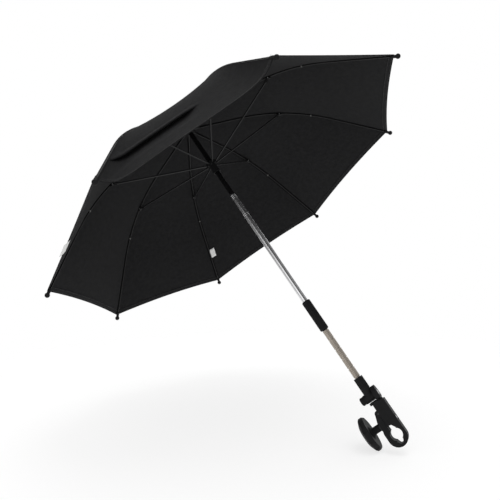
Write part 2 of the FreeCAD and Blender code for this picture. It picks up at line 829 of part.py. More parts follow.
def make_cap(bore):
    """The cap that clamps the cloth on the crown, drawn out into the ferrule above it."""
    low = crown_height + size.cloth_crown_rise + size.cloth_thickness + size.open_gap
    seat = crown_height + size.cloth_crown_rise + size.ferrule_depth + size.slip_gap
    top = low + size.cap_height
    corners = [
        (bore, low),
        (size.cap_radius, low),
        (size.cap_radius, low + size.cap_brim),
        (size.cap_radius - size.cap_brim, low + size.cap_brim * 2),
        (size.cap_neck_radius, low + size.cap_neck_height / 2),
        (size.cap_tip_radius + size.cap_brim, low + size.cap_neck_height),
        (size.cap_tip_radius, top - size.cap_brim * 2),
        (size.cap_tip_radius * 3 / 4, top - size.cap_brim / 2),
        (size.cap_tip_radius / 3, top),
        (zero, top),
        (zero, seat),
        (bore, seat),
    ]
    on_shaft("top_cap", turned("top_cap", corners))


def make_rib(index, azimuth):
    """A round rib with a flat hinge eye at the crown and a riveting boss under its bend."""
    name = f"rib_{index}"
    tongue = size.rib_eye_thickness / 2
    eye = rod(f"{name}_eye", size.rib_eye_radius, -tongue, tongue, axis="Y")
    bar = block(f"{name}_bar", (zero, size.rib_tongue), (-tongue, tongue),
                (-size.rib_radius, size.rib_radius))
    wire_start = size.rib_tongue - size.tongue_lap
    inner = rod(f"{name}_inner", size.rib_radius, wire_start, size.rib_inner_run, axis="X")
    bend = make("Part::Torus", f"{name}_bend", Radius1=size.rib_bend_radius, Radius2=size.rib_radius,
                Angle3=rib_turn)
    bend_axes = FreeCAD.Rotation(FreeCAD.Vector(0, 0, 1), FreeCAD.Vector(1, 0, 0),
                                 FreeCAD.Vector(0, 1, 0), "XYZ")
    place(bend, size.rib_inner_run, zero, -size.rib_bend_radius, bend_axes)
    outer = make("Part::Cylinder", f"{name}_outer", Radius=size.rib_radius,
                 Height=rib_outer_run - size.tip_radius)
    down = FreeCAD.Rotation(FreeCAD.Vector(0, 1, 0), 90 + rib_turn.value)
    place(outer, *bend_point(rib_turn, size.rib_bend_radius), down)
    half = size.rivet_boss_length / 2
    boss = block(f"{name}_boss", (-half, half), (-size.rib_radius, size.rib_radius),
                 (-size.rivet_boss_depth, size.rivet_boss_rise + size.rivet_drop))
    tilt = FreeCAD.Rotation(FreeCAD.Vector(0, 1, 0), rivet_turn.value)
    seat = doc.addObject("Part::Compound", f"{name}_boss_seat")
    seat.Links = [boss]
    seat.Placement = FreeCAD.Placement(vector(rivet_x, zero, rivet_z), tilt)
    side = size.rib_radius + size.overrun
    rivet = rod(f"{name}_rivet_hole", size.rivet_radius + size.running_gap, -side, side,
                (rivet_x, rivet_z), "Y")
    pivot = rod(f"{name}_pivot", size.wire_radius + size.running_gap, -side, side, axis="Y")
    solid = union(f"{name}_solid", [eye, bar, inner, bend, outer, seat])
    keep(name, cut(name, solid, [rivet, pivot]), around(azimuth, size.hinge_circle, crown_height,
                                                        SIZES["rib_start_angle"]))


def bend_point(turn, radius):
    """A point at a turn angle round the rib's bend, in the rib's own axes."""
    x = size.rib_inner_run + radius * sine(turn)
    z = radius * cosine(turn) - size.rib_bend_radius
    return x, zero, z


def make_tip(index, azimuth):
    """A tip cap on the end of a rib: a sleeve and a ball, made along its own Z axis."""
    name = f"rib_tip_{index}"
    bore = size.rib_radius + size.slip_gap
    floor = -size.tip_radius + size.slip_gap
    corners = [
        (bore, -size.tip_length),
        (size.tip_radius * 3 / 4, -size.tip_length),
        (size.tip_radius, -size.tip_length + size.tip_radius / 2),
        (size.tip_radius, zero),
        (zero, zero),
        (zero, floor),
        (bore, floor),
    ]
    sleeve = turned(f"{name}_sleeve", corners)
    knob = ball(f"{name}_ball", size.tip_ball_radius, zero, zero, zero)
    hole = rod(f"{name}_hole", bore, -size.tip_length, floor)
    cap = union(name, [sleeve, cut(f"{name}_round", knob, [hole])])
    x, y, z = bend_point(rib_turn, size.rib_bend_radius)
    spot = vector(x + rib_outer_run * cosine(rib_turn), y, z - rib_outer_run * sine(rib_turn))
    down = FreeCAD.Rotation(FreeCAD.Vector(0, 1, 0), 90 + rib_turn.value)
    rib = around(azimuth, size.hinge_circle, crown_height, SIZES["rib_start_angle"])
    keep(name, cap, rib.multiply(FreeCAD.Placement(spot, down)))


def make_stretcher(index, azimuth):
    """A channel bar with a fork and rivet at the rib and a ball at the runner, along its own X axis."""
    name = f"stretcher_{index}"
    gap = size.rib_radius + size.open_gap
    cheek = gap + size.fork_cheek
    half = size.fork_height / 2
    fork = block(f"{name}_fork", (-half, size.fork_length + half), (-cheek, cheek), (-half, half))
    slot = block(f"{name}_slot", (-half - size.overrun, size.fork_length), (-gap, gap),
                 (-half - size.overrun, half + size.overrun))
    width = size.stretcher_width / 2
    deep = size.stretcher_height / 2
    bar = block(f"{name}_bar", (size.fork_length, stretcher_length), (-width, width), (-deep, deep))
    groove = width - size.channel_wall
    channel = block(f"{name}_channel", (size.fork_length + half, stretcher_length), (-groove, groove),
                    (-deep - size.overrun, deep - size.channel_wall))
    rivet = rod(f"{name}_rivet", size.rivet_radius, -cheek, cheek, axis="Y")
    tip = ball(f"{name}_ball", size.stretcher_ball_radius, stretcher_length, zero, zero)
    forked = union(f"{name}_forked", [cut(f"{name}_open", fork, [slot]), bar])
    solid = union(name, [cut(f"{name}_hollow", forked, [channel]), rivet, tip])
    rivet_height = crown_height - rivet_fall
    spot = around(azimuth, size.hinge_circle + rivet_reach, rivet_height, 180 - stretcher_angle)
    keep(name, solid, spot)


def rib_line(distance):
    """Radius and height of the rib's middle line, and its slope, at a distance along it from the hinge."""
    start = math.radians(SIZES["rib_start_angle"])
    end = math.radians(SIZES["rib_end_angle"])
    inner = SIZES["rib_inner_run"]
    bend = SIZES["rib_bend_radius"]
    arc = bend * (end - start)
    turn = min(max(distance - inner, 0) / bend, end - start)
    first = min(distance, inner)
    last = max(distance - inner - arc, 0)
    slope = start + turn
    radius = first * math.cos(start) + bend * (math.sin(slope) - math.sin(start)) + last * math.cos(end)
    drop = first * math.sin(start) + bend * (math.cos(start) - math.cos(slope)) + last * math.sin(end)
    return SIZES["hinge_circle"] + radius, crown_height.value - drop, slope


CLOTH_STATION_SHARES = (0.0, 0.08, 0.16, 0.25, 0.34, 0.43, 0.52, 0.61, 0.7, 0.8, 0.9, 1.0)
CLOTH_ACROSS_SHARES = (0.0, 0.25, 0.5, 0.75, 1.0)


def cloth_stand_off(distance):
    """Height of the cloth's underside over the rib's middle line, which grows towards the crown."""
    near = 1 - min(max(distance / SIZES["cloth_crown_spread"], 0), 1)
    return SIZES["rib_radius"] + SIZES["open_gap"] + SIZES["cloth_crown_lift"] * near ** 2


def cloth_point(distance, turn, sag):
    """A point of the cloth's underside and its outward normal, at an angle from the rib round the shaft."""
    radius, height, slope = rib_line(distance)
    lift = cloth_stand_off(distance)
    span = (radius + lift * math.sin(slope)) * math.cos(math.pi / SIZES["rib_count"])
    reach = span / math.cos(math.pi / SIZES["rib_count"] - turn)
    facing = FreeCAD.Vector(math.cos(turn), math.sin(turn), 0)
    normal = facing * math.sin(slope) + FreeCAD.Vector(0, 0, math.cos(slope))
    ground = facing * reach + FreeCAD.Vector(0, 0, height + lift * math.cos(slope))
    return ground - normal * sag, normal


def half_gore_rows():
    """Points of the two skins of the cloth, from crown to hem and from ridge to mid-gore."""
    arc = SIZES["rib_bend_radius"] * math.radians(rib_turn.value)
    whole = SIZES["rib_inner_run"] + arc + rib_outer_run.value
    start = SIZES["cloth_hole_radius"] - SIZES["hinge_circle"]
    reach = whole - SIZES["tip_length"] - SIZES["open_gap"] - start
    half = math.pi / SIZES["rib_count"]
    clear = FreeCAD.Vector(math.sin(half), -math.cos(half), 0) * SIZES["open_gap"] / 2
    under = []
    above = []
    for share in CLOTH_STATION_SHARES:
        lower = []
        upper = []
        for across in CLOTH_ACROSS_SHARES:
            belly = across * (2 - across)
            distance = start + share * (reach - SIZES["hem_hollow"] * belly)
            sag = SIZES["gore_sag"] * math.sin(math.pi * share) * belly
            point, normal = cloth_point(distance, half * across, sag)
            lower.append(point + clear * across)
            upper.append(point + clear * across + normal * SIZES["cloth_thickness"])
        under.append(lower)
        above.append(upper)
    return under, above


def half_gore():
    """A thin solid between two curved skins, on one side of a rib."""
    skins = []
    for rows in half_gore_rows():
        skin = Part.BSplineSurface()
        skin.interpolate(rows)
        skins.append(skin)
    faces = [skin.toShape() for skin in skins]
    first_u, last_u, first_v, last_v = skins[0].bounds()
    far_u, end_u, far_v, end_v = skins[1].bounds()
    for low, high in ((first_u, far_u), (last_u, end_u)):
        faces.append(Part.makeRuledSurface(skins[0].uIso(low).toShape(), skins[1].uIso(high).toShape()))
    for low, high in ((first_v, far_v), (last_v, end_v)):
        faces.append(Part.makeRuledSurface(skins[0].vIso(low).toShape(), skins[1].vIso(high).toShape()))
    shell = Part.Shell(faces)
    shell.sewShape()
    solid = Part.Solid(shell)
    if solid.Volume < 0:
        solid.reverse()
    return solid


def make_canopy():
    """Eight equal shares of the cloth, each from the middle of one gore to the middle of the next."""
    half = half_gore()
    mirrored = half.mirror(FreeCAD.Vector(0, 0, 0), FreeCAD.Vector(0, 1, 0))
    share = half.fuse(mirrored).removeSplitter()
    for index, azimuth in enumerate(rib_azimuths, start=1):
        panel = doc.addObject("Part::Feature", f"canopy_panel_{index}")
        panel.Shape = share.Solids[0].copy()
        keep(f"canopy_panel_{index}", panel, around(azimuth, zero, zero))


def make_parasol():
    make_clamp_body()
    make_clamp_jaw()
    make_clamp_screw()
    make_swivel()
    make_tilt_joint()
    for index in range(1, SIZES["neck_links"] + 1):
        make_neck_link(index)
    make_connector()
    make_shaft()
    make_runner()
    make_crown()
    for index, azimuth in enumerate(rib_azimuths, start=1):
        make_rib(index, azimuth)
        make_tip(index, azimuth)
        make_stretcher(index, azimuth)
    make_canopy()


def write_parts():
    doc.recompute()
    failed = [obj.Name for obj in doc.Objects if {"Invalid", "Error"} & set(obj.State)]
    if failed:
        raise RuntimeError("failed objects: " + ", ".join(failed))
    os.makedirs("parts", exist_ok=True)
    for node, obj in nodes.items():
        if obj.Shape.isNull() or not obj.Shape.isValid():
            raise RuntimeError("bad shape: " + node)
    for node, obj in nodes.items():
        obj.Shape.exportStep(f"parts/{node}.step")


make_parasol()
write_parts()
print(len(nodes), "nodes")
print("runner hinge", runner_height.value, "crown hinge", crown_height.value)
print("rivet", SIZES["hinge_circle"] + rivet_reach.value, crown_height.value - rivet_fall.value)
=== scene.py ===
import json
import math

import bmesh
import bpy
from mathutils import Matrix, Vector


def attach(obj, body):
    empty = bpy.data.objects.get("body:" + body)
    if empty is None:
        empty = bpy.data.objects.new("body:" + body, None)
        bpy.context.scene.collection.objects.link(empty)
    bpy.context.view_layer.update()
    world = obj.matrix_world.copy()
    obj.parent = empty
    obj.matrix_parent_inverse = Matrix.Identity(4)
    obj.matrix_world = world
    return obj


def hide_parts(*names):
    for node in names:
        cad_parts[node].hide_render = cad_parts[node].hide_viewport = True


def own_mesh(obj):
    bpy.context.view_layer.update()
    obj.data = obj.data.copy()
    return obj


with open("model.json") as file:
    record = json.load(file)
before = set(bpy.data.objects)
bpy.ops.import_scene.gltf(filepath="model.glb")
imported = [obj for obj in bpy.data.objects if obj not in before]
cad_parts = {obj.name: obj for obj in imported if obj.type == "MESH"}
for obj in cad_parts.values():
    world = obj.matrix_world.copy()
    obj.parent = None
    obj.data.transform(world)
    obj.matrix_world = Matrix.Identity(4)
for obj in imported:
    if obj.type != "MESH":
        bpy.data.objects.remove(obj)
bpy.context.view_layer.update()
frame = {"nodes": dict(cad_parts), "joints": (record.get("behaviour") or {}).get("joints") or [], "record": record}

# Metres, in the frame of the solids: +Z up along the shaft, -X towards the clamp knob
JOINTS = {joint["name"]: joint for joint in frame["joints"]}
RIB_COUNT = 8
HALF_GORE = math.pi / RIB_COUNT

# The rib's middle line: a straight run, a bend and a straight run down to the tip
HINGE_CIRCLE = 0.009
RIB_START = math.radians(10.5)
RIB_END = math.radians(42.0)
RIB_INNER_RUN = 0.0925
RIB_BEND_RADIUS = 0.334
CANOPY_RADIUS = 0.350
RIB_RADIUS = 0.0013
TIP_LENGTH = 0.012
TIP_RADIUS = 0.0025

# The cloth
CLOTH_GAP = 0.0003
CLOTH_THICKNESS = 0.0005
CLOTH_HOLE = 0.0062
CROWN_LIFT = 0.0008
CROWN_SPREAD = 0.060
TIP_COVER = 0.006
HEM_HOLLOW = 0.005
GORE_SAG = 0.005
HEM_WIDTH = 0.009
HEM_FOLD = 0.0006
HEM_STEP = 0.0005
CLOTH_ROWS = 46
CLOTH_COLUMNS = 14
COLUMN_POWER = 1.25
EDGE_ANGLE = math.radians(40.0)

# The gore between ribs 7 and 8 hangs slack in the photograph, with one deep fold from the tip of rib 7
SLACK_RIB = 7
SLACK_DEPTH = 0.0205
SLACK_START_SHARE = 0.42
SLACK_POWERS = (20, 14)
CORNER_SHARE = 0.12
CORNER_SLACK_SHARE = 0.3
FOLD_SHARE = 0.763
FOLD_RISE_SHARE = 0.10
FOLD_TURN_SHARE = 0.06
FOLD_START_SHARE = 0.04
FOLD_FADE_SHARES = (0.50, 0.66)
FINE_SHARES = (0.66, 0.965)
FINE_ROWS = 130
SLACK_COLUMNS = 44

# Section of that fold: place on the flat cloth, place along the hanging cloth and rise out of it
PLEAT = (
    (-0.016, -0.016, 0.0), (-0.008, -0.005, 0.0018), (-0.003, 0.0, 0.0022),
    (-0.001, -0.0005, 0.0006), (0.002, -0.009, -0.0010), (0.005, -0.010, -0.0030),
    (0.009, -0.002, -0.0042), (0.016, 0.014, -0.0038), (0.045, 0.045, 0.0),
)

# Seams and tapes: strips along the ribs, whose section has points at these shares of the width
STRIP_SHARES = (-0.5, -0.42, 0.0, 0.42, 0.5)
STRIP_FIRST_ROW = 2
SEAM_WIDTH = 0.0042
SEAM_RISE = 0.00035
SEAM_DIP_SHARE = 0.8
TAPE_WIDTH = 0.007
TAPE_RISE = 0.0002

# Stitches, whose section gives share of the length, then thickness and rise in radii of the thread
STITCH_PITCH = 0.0032
STITCH_LENGTH = 0.0022
STITCH_RADIUS = 0.0002
STITCH_SECTION = ((0.0, 0.5, -0.3), (0.2, 1.0, 0.8), (0.8, 1.0, 0.8), (1.0, 0.5, -0.3))
STITCH_LINE_STEPS = 80
SEAM_STITCH_FIRST_STEP = 2
SEAM_STITCH_SHARE = 0.33
HEM_STITCH_FROM_EDGE = 0.0025
HEM_STITCH_FROM_FOLD = 0.0015
THREAD_CORNERS = 6

# The two bare labels
HEM_LABEL_RIB = 6
HEM_LABEL_SHARE = 0.99
HEM_LABEL_ACROSS = 0.74
HEM_LABEL_WIDTH = 0.028
HEM_LABEL_LENGTH = 0.013
SEAM_LABEL_RIB = 4
SEAM_LABEL_SHARE = 0.80
SEAM_LABEL_WIDTH = 0.020
SEAM_LABEL_LENGTH = 0.012
LABEL_LIFT = 0.002
LABEL_STEP = 0.02
LABEL_HALF_THICKNESS = 0.0004
LABEL_PINCH_SHARE = 0.1
LABEL_ROWS = 10
LABEL_COLUMNS = 6
WELD_DISTANCE = 1e-6

# The thread ties that hold the cloth to the ribs, and the rivets' heads
TIE_DISTANCE = 0.233
TIE_TURNS = 4
TIE_TURN_STEPS = 14
TIE_PITCH = 0.0006
TIE_THREAD = 0.00028
FORK_HALF_WIDTH = 0.0024
RIVET_HEAD_RADIUS = 0.0011
RIVET_HEAD_RISE = 0.0006
RIVET_HEAD_LEVELS = 5
RIVET_HEAD_CORNERS = 16

# Darkest and lightest tone of the cloth and of its binding tape; the tape is toned darker than the cloth, partly
# as painted shade along the ribs
CLOTH_TONES = (0.006, 0.029)
TAPE_AND_RIB_SHADE_TONES = (0.002, 0.006)
CLOTH_BLUE = 1.04

# Finishes of the metal and enamelled solids, by material slot
METALS = {
    "bright_steel": {"dark": (0.5, 0.5, 0.51), "light": (0.66, 0.66, 0.67), "roughness": 0.28,
                     "grain": 900.0},
    "neck_metal": {"dark": (0.36, 0.32, 0.275), "light": (0.46, 0.41, 0.355), "roughness": 0.42,
                   "grain": 700.0, "metallic": 0.5},
    "shaft_chrome": {"dark": (0.74, 0.74, 0.75), "light": (0.86, 0.86, 0.87), "roughness": 0.26,
                     "grain": 600.0, "turned": 0.9},
}
ENAMELS = {
    "rib_steel": {"name": "rib_enamel", "dark": (0.005, 0.005, 0.0052), "light": (0.010, 0.010, 0.0104),
                  "roughness": 0.35},
    "stretcher_steel": {"name": "stretcher_enamel", "dark": (0.012, 0.012, 0.0123),
                        "light": (0.02, 0.02, 0.0205), "roughness": 0.4, "gloss": 0.15},
}

# Finish of the rivets' heads
RIVET_STEEL = {"name": "rivet_steel", "dark": (0.42, 0.42, 0.43), "light": (0.58, 0.58, 0.59),
               "roughness": 0.3, "grain": 900.0}

# Metal pieces that are black in the photograph, and a plain black gloss for them; the upper tube, chrome in the
# record, gets this black so that it looks as dark as it does under the canopy
BLACK_PIECES = ("upper_tube", "jaw_pin", "clamp_washer")
BLACK_FINISH = {"name": "black_finish", "dark": (0.004, 0.004, 0.0042), "light": (0.008, 0.008, 0.0083),
           "roughness": 0.25, "gloss": 0.4}

# The view of the photograph
VIEW_AZIMUTH = math.radians(9.86)
VIEW_ELEVATION = math.radians(-17.71)
VIEW_ROLL = math.radians(-33.83)
VIEW_DISTANCE = 0.9813
VIEW_AIM = Vector((-0.0277, -0.0165, 0.3669))
VIEW_LENS = 42.06
VIEW_CLIP = 0.01

# The floor under the clamp knob, seen almost edge on
FLOOR_PITCH = math.radians(2.0)
FLOOR_CENTRE = Vector((0, 0, 0.2))
FLOOR_REACH = 1.2
FLOOR_GAP = 0.0002
FLOOR_FADE = 2.2
FLOOR_TONE = 0.34
FLOOR_GLOW = 0.73

# Lamps: place to the right of, above and beyond the aim, size and power
LIGHT_AIM = Vector((0, 0, 0.42))
LIGHTS = {
    "key": ((0.2, 1.6, -0.15), 1.2, 9.0),
    "fill": ((-0.9, 0.3, -1.6), 1.4, 2.5),
    "back": ((1.3, 0.4, 1.1), 1.2, 3.0),
}
WORLD_STRENGTH = 0.7
BACKGROUND_STRENGTH = 1.0

# Tones of the studio walls that bright metal mirrors, by share of a turn round the shaft from -X
STUDIO_WALLS = (
    (0.0, 0.1), (0.10, 0.2), (0.14, 1.0), (0.21, 1.0), (0.25, 0.3),
    (0.29, 0.08), (0.34, 0.08), (0.38, 0.25), (0.50, 0.25), (0.58, 0.4),
    (0.68, 0.7), (0.76, 1.0), (0.86, 0.5), (0.93, 0.1), (1.0, 0.1),
)


def hinge_place(k):
    return Vector(JOINTS[f"rib_fold_{k}"]["pos_m"])


def tangent(k):
    """Direction across rib k, round the shaft."""
    return Vector(JOINTS[f"rib_fold_{k}"]["axis"])


def outward(k):
    """Direction of rib k away from the shaft."""
    across = tangent(k)
    return Vector((across.y, -across.x, 0))


SHAFT_FOOT = hinge_place(1) - outward(1) * HINGE_CIRCLE
CROWN_HEIGHT = SHAFT_FOOT.z
SHAFT_FOOT.z = 0


def smooth(value):
    value = min(max(value, 0.0), 1.0)
    return value * value * (3 - 2 * value)


def rib_line(distance):
    """Radius, height and slope of the rib's middle line at a distance along it from the hinge."""
    arc = RIB_BEND_RADIUS * (RIB_END - RIB_START)
    turn = min(max(distance - RIB_INNER_RUN, 0) / RIB_BEND_RADIUS, RIB_END - RIB_START)
    first = min(distance, RIB_INNER_RUN)
    last = max(distance - RIB_INNER_RUN - arc, 0)
    slope = RIB_START + turn
    reach = first * math.cos(RIB_START) + last * math.cos(RIB_END)
    reach += RIB_BEND_RADIUS * (math.sin(slope) - math.sin(RIB_START))
    drop = first * math.sin(RIB_START) + last * math.sin(RIB_END)
    drop += RIB_BEND_RADIUS * (math.cos(RIB_START) - math.cos(slope))
    return HINGE_CIRCLE + reach, CROWN_HEIGHT - drop, slope


def rib_length():
    arc = RIB_BEND_RADIUS * (RIB_END - RIB_START)
    bend_reach = RIB_BEND_RADIUS * (math.sin(RIB_END) - math.sin(RIB_START))
    outer_reach = CANOPY_RADIUS - HINGE_CIRCLE - RIB_INNER_RUN * math.cos(RIB_START) - bend_reach
    return RIB_INNER_RUN + arc + outer_reach / math.cos(RIB_END)


CLOTH_START = CLOTH_HOLE - HINGE_CIRCLE
CLOTH_END = rib_length() - TIP_LENGTH + TIP_COVER
CLOTH_LENGTH = CLOTH_END - CLOTH_START
GORE_WIDTH = 2 * CANOPY_RADIUS * math.sin(HALF_GORE)


def half_width(share):
    """Half the width of a gore at a share of the cloth's length."""
    return rib_line(share * CLOTH_END)[0] * math.sin(HALF_GORE)


def ridge_point(direction, distance):
    """A point of the cloth's underside right above a rib, and the slope there."""
    radius, height, slope = rib_line(distance)
    lift = RIB_RADIUS + CLOTH_GAP + CROWN_LIFT * (1 - smooth(distance / CROWN_SPREAD))
    lift += (TIP_RADIUS - RIB_RADIUS) * smooth(1 + (distance - CLOTH_END + TIP_COVER) / TIP_COVER)
    place = SHAFT_FOOT + direction * (radius + lift * math.sin(slope))
    place.z = height + lift * math.cos(slope)
    return place, slope


def pleat(off):
    """Place and rise in the fold's section, on cubic pieces through its points."""
    if not PLEAT[0][0] < off < PLEAT[-1][0]:
        return Vector((off, 0.0))
    flat = [row[0] for row in PLEAT]
    index = max(i for i, place in enumerate(flat) if place <= off)
    places = [Vector(row[1:]) for row in PLEAT]
    slopes = []
    for i in (index, index + 1):
        if i in (0, len(PLEAT) - 1):
            slopes.append(Vector((1.0, 0.0)))
        else:
            slopes.append((places[i + 1] - places[i - 1]) / (flat[i + 1] - flat[i - 1]))
    run = flat[index + 1] - flat[index]
    share = (off - flat[index]) / run
    blend = smooth(share)
    swing = slopes[0] * (share * (1 - share) ** 2) - slopes[1] * (share ** 2 * (1 - share))
    return places[index].lerp(places[index + 1], blend) + swing * run


def slack(k, share, across):
    """Shift along the cloth, drop below the stretched place and lean, all nought but in the slack gore."""
    if k == SLACK_RIB and across > 0:
        turn = across / 2
    elif k == SLACK_RIB + 1 and across < 0:
        turn = 1 + across / 2
    else:
        return 0.0, 0.0, 0.0
    hang = (1 - (1 - turn) ** SLACK_POWERS[0]) * (1 - turn ** SLACK_POWERS[1])
    hang *= 1 + CORNER_SLACK_SHARE * math.exp(-turn / CORNER_SHARE)
    depth = SLACK_DEPTH * hang * smooth((share - SLACK_START_SHARE) / (1 - SLACK_START_SHARE))
    rise = FOLD_RISE_SHARE * math.exp(-turn / FOLD_TURN_SHARE)
    oblique = math.hypot(1, rise / FOLD_TURN_SHARE * CLOTH_LENGTH / GORE_WIDTH)
    first, last = FOLD_FADE_SHARES
    fade = smooth(turn / FOLD_START_SHARE) * (1 - smooth((turn - first) / (last - first)))
    off = (share - FOLD_SHARE - rise) * CLOTH_LENGTH / oblique
    place = Vector((off, 0.0)).lerp(pleat(off), fade)
    step = HEM_STEP / 2
    run = Vector((2 * step, 0.0)).lerp(pleat(off + step) - pleat(off - step), fade)
    return (place.x - off) * oblique / CLOTH_LENGTH, depth - place.y, math.atan2(run.y, run.x)


def cloth_point(k, share, across, lift=0.0):
    """A point of the cloth and the direction that the cloth faces there.

    share runs from the crown to the hem, and across from the middle of one gore (-1) by rib k (0)
    to the middle of the next (1).
    """
    side = 1 if across >= 0 else -1
    span = abs(across)
    belly = span * (2 - span)
    shift, drop, lean = slack(k, share, across)
    share += shift
    distance = CLOTH_START + share * (CLOTH_LENGTH - HEM_HOLLOW * belly)
    own = outward(k)
    turn = Matrix.Rotation(side * 2 * HALF_GORE, 3, "Z")
    here, slope = ridge_point(own, distance)
    there = ridge_point(turn @ own, distance)[0]
    middle = Matrix.Rotation(side * HALF_GORE, 3, "Z") @ own
    normal = middle * math.sin(slope) + Vector((0, 0, math.cos(slope)))
    along = middle * math.cos(slope) - Vector((0, 0, math.sin(slope)))
    sag = GORE_SAG * math.sin(math.pi * share) * belly + drop
    facing = normal * math.cos(lean) - along * math.sin(lean)
    return here.lerp(there, span / 2) - normal * sag + facing * lift, facing


def make_object(name, build, material, smooth_faces=True):
    """Turns a finished bmesh into an object of the scene."""
    mesh = bpy.data.meshes.new(name)
    build.to_mesh(mesh)
    build.free()
    mesh.materials.append(material)
    for face in mesh.polygons:
        face.use_smooth = smooth_faces
    obj = bpy.data.objects.new(name, mesh)
    bpy.context.collection.objects.link(obj)
    return obj


def add_ring(build, centre, side, up, count):
    turns = (2 * math.pi * corner / count for corner in range(count))
    return [build.verts.new(centre + side * math.cos(turn) + up * math.sin(turn)) for turn in turns]


def close_tube(build, rings):
    """Joins rings into a tube with both its ends closed."""
    for first, second in zip(rings, rings[1:]):
        for corner in range(len(first)):
            after = (corner + 1) % len(first)
            build.faces.new((first[corner], first[after], second[after], second[corner]))
    build.faces.new(rings[-1])
    build.faces.new(rings[0][::-1])


def is_slack(k):
    return k in (SLACK_RIB, SLACK_RIB + 1)


def cloth_rows(k):
    """Shares from crown to hem, close together in the slack fold, and the share where the hem begins."""
    fold = 1 - HEM_WIDTH / CLOTH_LENGTH
    step = fold - HEM_STEP / CLOTH_LENGTH
    rows = [step * row / CLOTH_ROWS for row in range(CLOTH_ROWS)]
    if is_slack(k):
        first, last = FINE_SHARES
        fine = [first + (last - first) * row / FINE_ROWS for row in range(FINE_ROWS + 1)]
        rows = sorted([row for row in rows if not first <= row <= last] + fine)
    return rows + [step, fold, (1 + fold) / 2, 1.0], fold


def make_cloth(k, material):
    """One share of the canopy: two skins, a folded hem and the edge round the crown."""
    rows, fold = cloth_rows(k)
    count = SLACK_COLUMNS if is_slack(k) else CLOTH_COLUMNS
    columns = [math.copysign(abs(c / count) ** COLUMN_POWER, c) for c in range(-count, count + 1)]
    build = bmesh.new()
    sheet = build.loops.layers.uv.new("cloth")
    skins = []
    places = {}
    for outer in (True, False):
        grid = []
        for share in rows:
            line = []
            for across in columns:
                lift = CLOTH_THICKNESS if outer else 0.0
                if not outer and share >= fold:
                    lift -= HEM_FOLD
                vertex = build.verts.new(cloth_point(k, share, across, lift)[0])
                places[vertex] = (across * half_width(share), share * CLOTH_END)
                line.append(vertex)
            grid.append(line)
        skins.append(grid)

    def quad(a, b, c, d):
        face = build.faces.new((a, b, c, d))
        for loop in face.loops:
            loop[sheet].uv = places[loop.vert]

    top, under = skins
    rims = {vertex for grid in skins for line in grid for vertex in (line[0], line[-1])}
    rims.update(vertex for grid in skins for line in (grid[0], grid[-1]) for vertex in line)
    for i in range(len(rows) - 1):
        for j in range(len(columns) - 1):
            quad(top[i][j], top[i + 1][j], top[i + 1][j + 1], top[i][j + 1])
            quad(under[i][j], under[i][j + 1], under[i + 1][j + 1], under[i + 1][j])
    for j in range(len(columns) - 1):
        quad(top[-1][j], under[-1][j], under[-1][j + 1], top[-1][j + 1])
        quad(top[0][j + 1], under[0][j + 1], under[0][j], top[0][j])
    for i in range(len(rows) - 1):
        quad(top[i][0], under[i][0], under[i + 1][0], top[i + 1][0])
        quad(top[i + 1][-1], under[i + 1][-1], under[i][-1], top[i][-1])
    build.normal_update()
    for edge in build.edges:
        if len({places[vertex] for vertex in edge.verts}) > 1 and edge.calc_face_angle(0.0) > EDGE_ANGLE:
            edge.smooth = is_slack(k) and all(vertex not in rims for vertex in edge.verts)
    return make_object(f"canopy_cloth_{k}", build, material)


def make_strip(name, k, material, width, base, rises):
    """A narrow strip along rib k on the cloth, its section given by five heights over the base."""
    rows, fold = cloth_rows(k)
    build = bmesh.new()
    sheet = build.loops.layers.uv.new("cloth")
    grid = []
    places = {}
    for share in [row for row in rows[STRIP_FIRST_ROW:] if row <= fold]:
        line = []
        for offset, rise in zip(STRIP_SHARES, rises):
            across = offset * width / half_width(share)
            vertex = build.verts.new(cloth_point(k, share, across, base + rise)[0])
            places[vertex] = (offset * width, share * CLOTH_END)
            line.append(vertex)
        grid.append(line)
    for i in range(len(grid) - 1):
        for j in range(len(STRIP_SHARES) - 1):
            face = build.faces.new((grid[i][j], grid[i + 1][j], grid[i + 1][j + 1], grid[i][j + 1]))
            for loop in face.loops:
                loop[sheet].uv = places[loop.vert]
    return make_object(name, build, material)


def make_seam(k, material):
    """The felled seam over rib k, on the outside of the cloth."""
    rises = (0.0, SEAM_RISE, SEAM_RISE * SEAM_DIP_SHARE, SEAM_RISE, 0.0)
    return make_strip(f"canopy_seam_{k}", k, material, SEAM_WIDTH, CLOTH_THICKNESS, rises)


def make_tape(k, material):
    """The binding tape over the seam's raw edges, between the cloth and rib k."""
    rises = (0.0, -TAPE_RISE, -TAPE_RISE, -TAPE_RISE, 0.0)
    return make_strip(f"canopy_tape_{k}", k, material, TAPE_WIDTH, 0.0, rises)


def add_stitch(build, start, end, normal):
    """One stitch: a short thread that dips into the cloth at both ends."""
    along = end - start
    side = along.cross(normal).normalized() * STITCH_RADIUS
    up = normal.normalized() * STITCH_RADIUS
    rings = []
    for share, width, rise in STITCH_SECTION:
        centre = start + along * share + up * rise
        rings.append(add_ring(build, centre, side * width, up * width, THREAD_CORNERS))
    close_tube(build, rings)


def stitch_line(build, points):
    """Stitches along a line of (place, normal) points close together."""
    travelled = 0.0
    wanted = STITCH_PITCH / 2
    for (here, normal), (there, _) in zip(points, points[1:]):
        run = (there - here).length
        while wanted < travelled + run:
            start = here.lerp(there, (wanted - travelled) / run)
            add_stitch(build, start, start + (there - here).normalized() * STITCH_LENGTH, normal)
            wanted += STITCH_PITCH
        travelled += run


